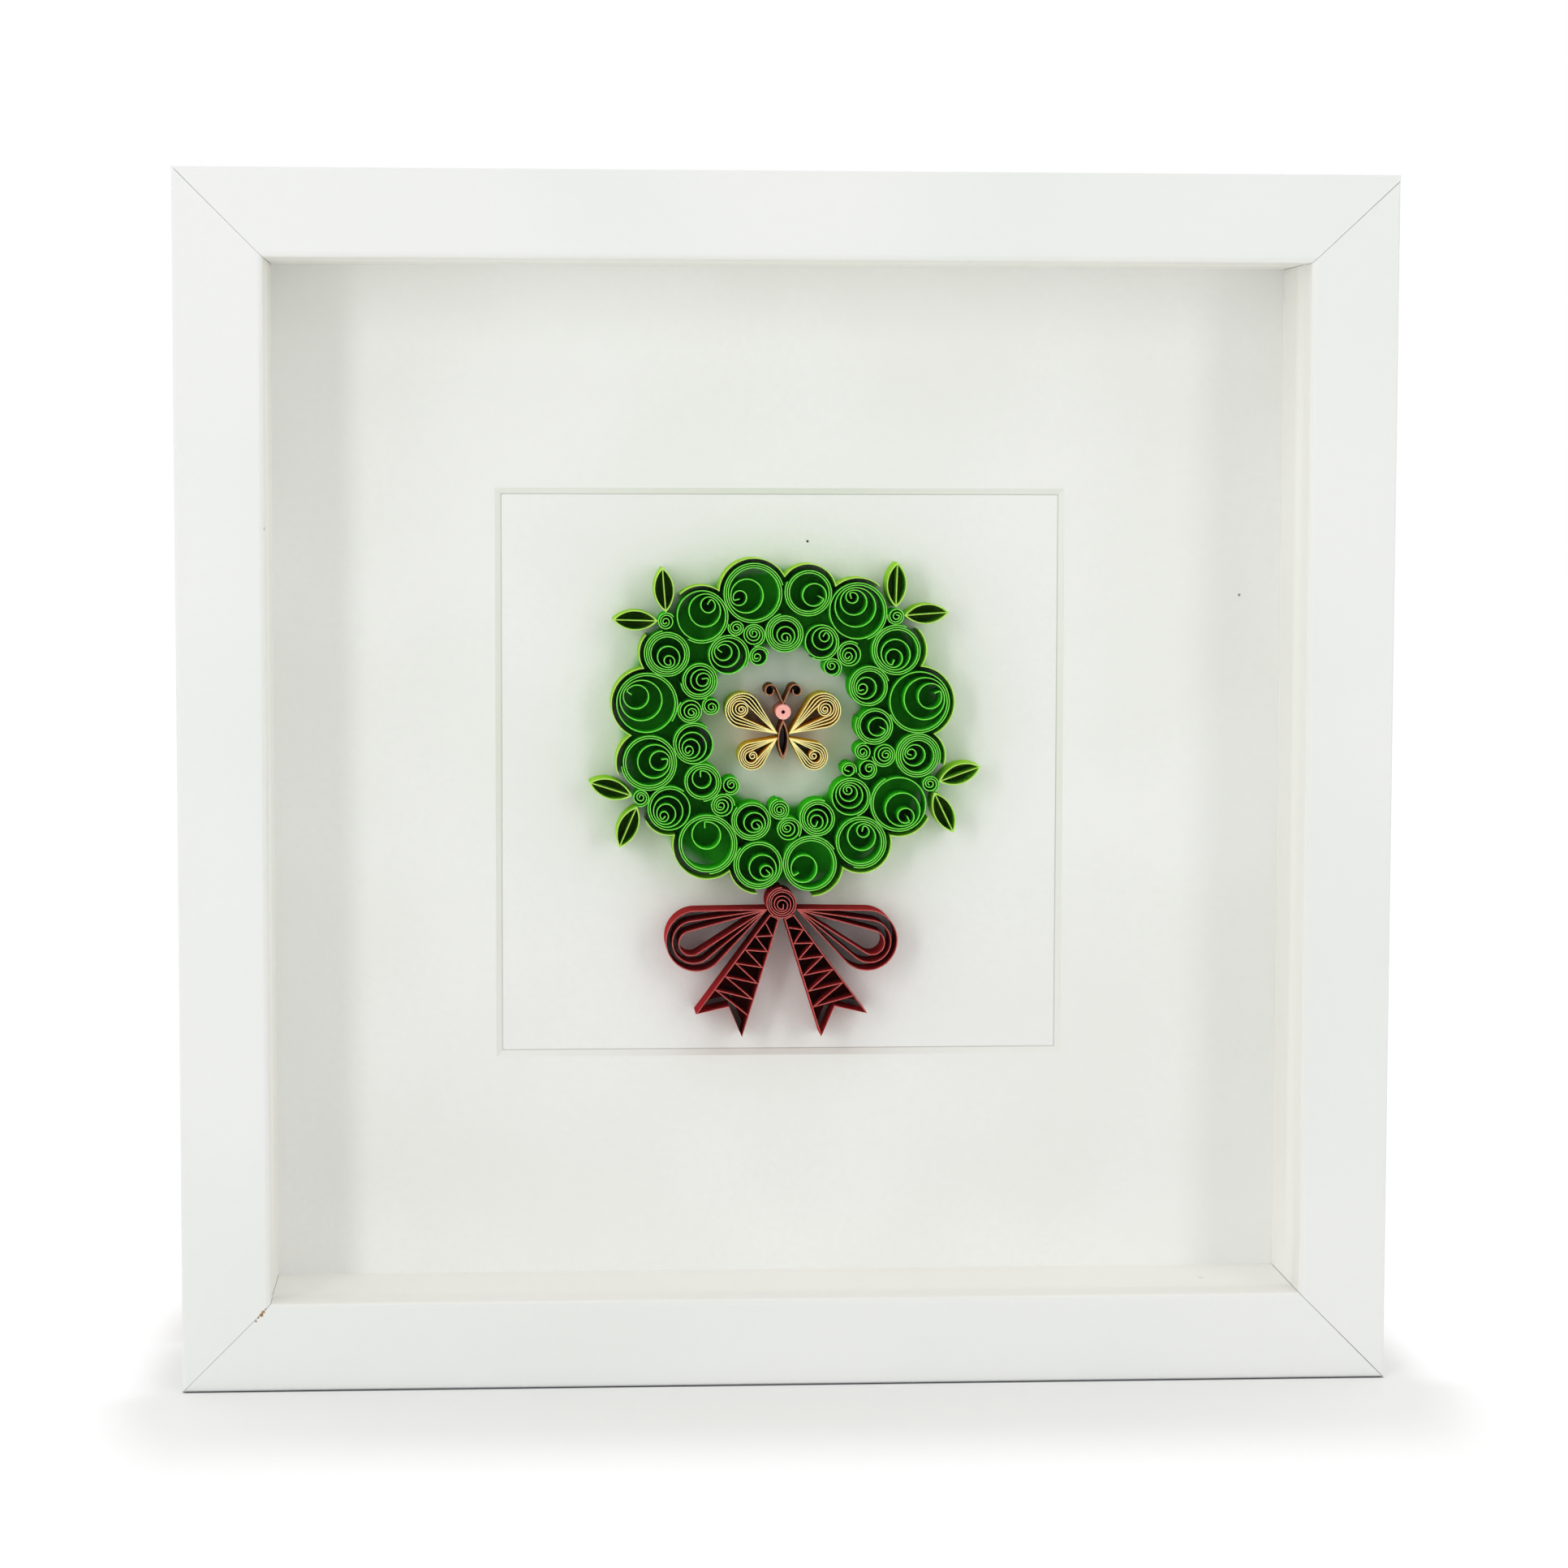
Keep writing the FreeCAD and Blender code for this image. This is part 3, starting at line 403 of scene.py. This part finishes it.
def clear_glazing():
    """Clear glazing that lets the lamps' light through to the picture."""
    made, tree, surface = finish_material("clear_glazing")
    surface.inputs["Base Color"].default_value = (1, 1, 1, 1)
    surface.inputs["Transmission Weight"].default_value = 1.0
    surface.inputs["IOR"].default_value = 1.45
    smear = tree.noise(tree.place(), 18.0, 2.0, 0.6)
    tree.put(surface.inputs["Roughness"], tree.ramp(smear, 0.55, 0.8, 0.0, 0.03))
    tree.put(surface.inputs["Normal"], bump(tree, smear, 0.004, 0.001))
    rays = tree.add("ShaderNodeLightPath").outputs
    through = tree.math("MAXIMUM", rays["Is Shadow Ray"], rays["Is Diffuse Ray"])
    open_way = tree.add("ShaderNodeBsdfTransparent")
    blend = tree.add("ShaderNodeMixShader", {
        0: through, 1: surface.outputs["BSDF"], 2: open_way.outputs["BSDF"],
    })
    end = made.node_tree.nodes["Material Output"]
    tree.put(end.inputs["Surface"], blend.outputs[0])
    return made


SCREEN_PITCH = 0.0016


def hardboard():
    """Brown hardboard: flecked fibres and, on the back, the weave that its press screen leaves."""
    made, tree, surface = finish_material("hardboard")
    place = tree.place()
    board = use(tree, FIBRE_BOARD, Pale=hue(150, 112, 74), Dark=hue(96, 66, 40))
    x, _, z = tree.split(place)
    turns = 2 * math.pi / SCREEN_PITCH
    rows = [tree.math("SINE", tree.math("MULTIPLY", part, turns)) for part in (x, z)]
    weave = tree.math("MULTIPLY", *rows)
    height = tree.math("ADD", tree.math("MULTIPLY", weave, 0.35), board["Height"])
    tree.put(surface.inputs["Base Color"], board["Color"])
    tree.put(surface.inputs["Roughness"], tree.ramp(board["Height"], 0.2, 0.8, 0.7, 0.88))
    tree.put(surface.inputs["Normal"], bump(tree, height, 0.6, 0.0003))
    return made


def plated_steel():
    """Zinc-plated steel, rolled one way, with dull patches."""
    made, tree, surface = finish_material("plated_steel")
    place = tree.place()
    rolled = tree.add("ShaderNodeMapping", {0: place, 3: (0.08, 1.0, 1.0)}).outputs[0]
    lines = tree.noise(rolled, 4200.0, 3.0, 0.6)
    patches = tree.noise(place, 240.0, 4.0, 0.6)
    tree.put(surface.inputs["Base Color"],
             tree.mix(tree.ramp(patches, 0.35, 0.7), hue(176, 178, 176), hue(214, 214, 208)))
    surface.inputs["Metallic"].default_value = 1.0
    tree.put(surface.inputs["Roughness"], tree.ramp(lines, 0.3, 0.7, 0.26, 0.44))
    tree.put(surface.inputs["Normal"], bump(tree, lines, 0.15, 0.0001))
    return made


TORN_FOIL = (  # along the lower left mitre: x, z and reach
    (-0.1079, 0.0172, 0.00022), (-0.1084, 0.0166, 0.0003), (-0.1089, 0.0160, 0.0004),
    (-0.1094, 0.0154, 0.0003), (-0.1099, 0.0147, 0.00022),
)

FRAME_FOIL = foiled_board(
    "frame_foil", hue(232, 233, 231), hue(228, 230, 227), ("Mitre", "Rebate", "Back"),
    chips=[((x, FRONT, z), reach) for x, z, reach in TORN_FOIL] + [((-0.107, -0.0212, 0.1772), 0.0004)],
)
SPACER_FOIL = foiled_board(
    "spacer_foil", hue(248, 247, 243), hue(245, 244, 239), ("Mitre",), rough=0.6,
    chips=[((-0.1072, 0.001, 0.0575), 0.0004)],
)
MAT_BOARD = board_sheet(
    "mat_board", hue(241, 242, 239), hue(237, 238, 234), core=hue(238, 239, 234),
    specks=[((0.0984, MAT_FRONT, 0.163), 0.0003, hue(150, 146, 138))],
)
WHITE_CARD = board_sheet(
    "white_card", hue(241, 242, 240), hue(237, 238, 235), grain=900.0, depth=0.12,
    # painted bounce light: the colours that the strips throw on the card under them
    painted_bounce_under=[(under_wreath, hue(58, 190, 40)), (under_tails, hue(166, 30, 32)),
           (under_leaves, hue(140, 206, 54))],
    specks=[((0.0058, CARD_FRONT, 0.1743), 0.0003, hue(70, 66, 60))],
)
GLAZING = clear_glazing()
HARDBOARD = hardboard()
STEEL = plated_steel()
# The third colour of each paper is its cut edge, painted paler: a painted highlight.
GREEN_PAPER = strip_paper("green_paper", hue(54, 206, 30), hue(136, 246, 96), hue(44, 188, 26))
LIME_PAPER = strip_paper(
    "lime_paper", hue(140, 206, 54), hue(188, 234, 112), hue(128, 194, 48), glow=0.9,
)
RED_PAPER = strip_paper("red_paper", hue(158, 38, 42), hue(196, 104, 98), hue(136, 30, 34))
YELLOW_PAPER = strip_paper(
    "yellow_paper", hue(255, 214, 84), hue(255, 249, 170), hue(248, 188, 52), glow=0.4,
)
PINK_PAPER = strip_paper("pink_paper", hue(248, 146, 138), hue(255, 190, 180), hue(244, 130, 124))
BROWN_PAPER = strip_paper("brown_paper", hue(128, 78, 50), hue(184, 132, 100), hue(104, 60, 38))

FINISHES = {
    "frame_rail": FRAME_FOIL, "spacer": SPACER_FOIL, "glazing": GLAZING, "mat": MAT_BOARD,
    "backing_card": WHITE_CARD, "back_board": HARDBOARD, "corner_nails": STEEL,
    "retaining_points": STEEL, "hanger": STEEL, "outer_coil": GREEN_PAPER,
    "inner_coil": GREEN_PAPER, "small_coils": GREEN_PAPER, "hoops": LIME_PAPER,
    "leaves": LIME_PAPER, "bow": RED_PAPER, "tail_pleats": RED_PAPER,
    "butterfly_body": BROWN_PAPER, "butterfly_feelers": BROWN_PAPER,
    "butterfly_head": PINK_PAPER, "upper_wing": YELLOW_PAPER, "lower_wing": YELLOW_PAPER,
}


def dress_nodes():
    for name, node in NODES.items():
        finish = next(finish for start, finish in FINISHES.items() if name.startswith(start))
        node.data.materials.clear()
        node.data.materials.append(finish)


# Floor, light and camera, in metres

FLOOR_HALF = 6.0
SHADOW_HALF_WIDTH, SHADOW_HALF_DEPTH = 0.12, 0.0225  # of the shadow's core
SHADOW_LINE_OUTSET, SHADOW_LINE_WIDTH = 0.0042, 0.0012  # of the painted contact shadow, a dark line where the frame stands, past the core
WHITE_FROM, WHITE_TO = 0.03, 0.082  # distance from the core over which the floor turns white
SIDE_FROM, SIDE_TO = -0.034, -0.02  # y over which a step sideways comes to count for more
SIDE_WEIGHTS = (3.2, 4.2)
MIRROR_FROM, MIRROR_TO = -0.3, -0.02  # y over which the mirrored floor goes from dark to white
CENTRE = (0.0, 0.0, 0.125)
LAMPS = (  # name, place, target, width, height and power
    ("left_window", (-0.75, -1.25, 0.25), CENTRE, 0.2, 1.2, 5.35),
    ("right_window", (0.75, -1.25, 0.25), CENTRE, 0.3, 1.2, 3.85),
    ("side_window", (-1.3, -0.7, 0.35), CENTRE, 0.8, 1.0, 1.0),
    ("high_window", (0.0, -0.8, 1.1), CENTRE, 1.4, 0.4, 0.35),
    ("ceiling", (0.0, 0.35, 1.3), (0.0, 0.0, 0.0), 0.9, 0.5, 1.0),
)


def floor():
    """A pale floor. Away from the part it is plain white to the camera, and near the part it keeps
    shadows, with a thin painted shadow line where the frame stands."""
    shape = bmesh.new()
    bmesh.ops.create_grid(shape, x_segments=1, y_segments=1, size=FLOOR_HALF)
    mesh = bpy.data.meshes.new("studio_floor")
    shape.to_mesh(mesh)
    shape.free()
    sheet = bpy.data.objects.new("studio_floor", mesh)
    bpy.context.scene.collection.objects.link(sheet)
    made, tree, surface = finish_material("studio_floor")
    surface.inputs["Roughness"].default_value = 0.9
    surface.inputs["Specular IOR Level"].default_value = 0.0
    rays = tree.add("ShaderNodeLightPath").outputs
    x, y, _ = tree.split(tree.place())
    on_table = tree.ramp(y, MIRROR_FROM, MIRROR_TO)
    mirrored = tree.math("MAXIMUM", rays["Is Glossy Ray"], rays["Is Transmission Ray"])
    seen = tree.math("MAXIMUM", rays["Is Camera Ray"], tree.math("MULTIPLY", mirrored, on_table))
    wide = tree.math("SUBTRACT", tree.math("ABSOLUTE", x), SHADOW_HALF_WIDTH)
    before = tree.math("SUBTRACT", tree.math("ABSOLUTE", y), SHADOW_HALF_DEPTH)
    off_frame = tree.math("MAXIMUM", before, tree.math("SUBTRACT", wide, SHADOW_LINE_OUTSET))
    weight = tree.ramp(y, SIDE_FROM, SIDE_TO, *SIDE_WEIGHTS)
    beside = tree.math("MULTIPLY", tree.math("MAXIMUM", wide, 0.0), weight)
    away = tree.length(beside, tree.math("MAXIMUM", before, 0.0))
    share = tree.ramp(away, WHITE_FROM, WHITE_TO)
    # painted contact shadow: a dark line painted on the floor where the frame stands
    painted_contact_shadow = tree.ramp(off_frame, 0.0, SHADOW_LINE_WIDTH)
    tree.put(surface.inputs["Base Color"], tree.mix(painted_contact_shadow, hue(84, 86, 94), hue(240, 240, 239)))
    white = tree.add("ShaderNodeEmission", {"Color": (1, 1, 1, 1), "Strength": 1.02})
    lit = tree.add("ShaderNodeMixShader", {
        0: tree.math("MULTIPLY", seen, share), 1: surface.outputs["BSDF"], 2: white.outputs[0],
    })
    dark = tree.add("ShaderNodeEmission", {"Color": (1, 1, 1, 1), "Strength": 0.02})
    off_table = tree.math("MULTIPLY", mirrored, tree.math("SUBTRACT", 1.0, on_table))
    blend = tree.add("ShaderNodeMixShader", {0: off_table, 1: lit.outputs[0], 2: dark.outputs[0]})
    tree.put(made.node_tree.nodes["Material Output"].inputs["Surface"], blend.outputs[0])
    made.cycles.emission_sampling = "NONE"
    mesh.materials.append(made)


def world(around, ahead):
    """White to the camera. Its light is weaker straight ahead of the picture, where the camera is."""
    made = bpy.data.worlds.new("studio")
    made.use_nodes = True
    bpy.context.scene.world = made
    tree = Tree(made.node_tree)
    background = made.node_tree.nodes["Background"]
    background.inputs["Color"].default_value = (1, 1, 1, 1)
    rays = tree.add("ShaderNodeLightPath").outputs
    _, y, _ = tree.split(tree.add("ShaderNodeTexCoord").outputs["Generated"])
    behind = tree.ramp(y, -0.1, 0.1)
    strength = tree.ramp(y, -0.95, -0.5, ahead, around)
    mirrored = tree.math("MAXIMUM", rays["Is Glossy Ray"], rays["Is Transmission Ray"])
    seen = tree.math("MAXIMUM", rays["Is Camera Ray"], tree.math("MULTIPLY", mirrored, behind))
    dark = tree.math("MULTIPLY", mirrored, tree.math("SUBTRACT", 1.0, behind))
    plain = tree.ramp(dark, 0.0, 1.0, strength, 0.02, smooth=False)
    tree.put(background.inputs["Strength"], tree.ramp(seen, 0.0, 1.0, plain, 1.0, smooth=False))


def lamp(name, place, target, width, height, power):
    light = bpy.data.lights.new(name, "AREA")
    light.shape = "RECTANGLE"
    light.size, light.size_y = width, height
    light.energy = power
    made = bpy.data.objects.new(name, light)
    bpy.context.scene.collection.objects.link(made)
    made.location = place
    made.rotation_euler = (Vector(target) - Vector(place)).to_track_quat("-Z", "Y").to_euler()


def camera():
    """The photograph's camera: a little left of the picture and above its middle, tipped down."""
    made = bpy.data.objects.new("camera", bpy.data.cameras.new("camera"))
    bpy.context.scene.collection.objects.link(made)
    made.data.sensor_width = 36.0
    made.data.lens = 90.82
    made.location = (-0.0554, -0.8299, 0.1897)
    made.rotation_euler = [math.radians(angle) for angle in (85.443, -0.1419, -3.8164)]
    made.data.clip_start, made.data.clip_end = 0.01, 50.0
    bpy.context.scene.camera = made


dress_nodes()
camera()
floor()
world(around=0.99, ahead=0.36)
for settings in LAMPS:
    lamp(*settings)
bpy.context.scene.view_settings.view_transform = "Standard"
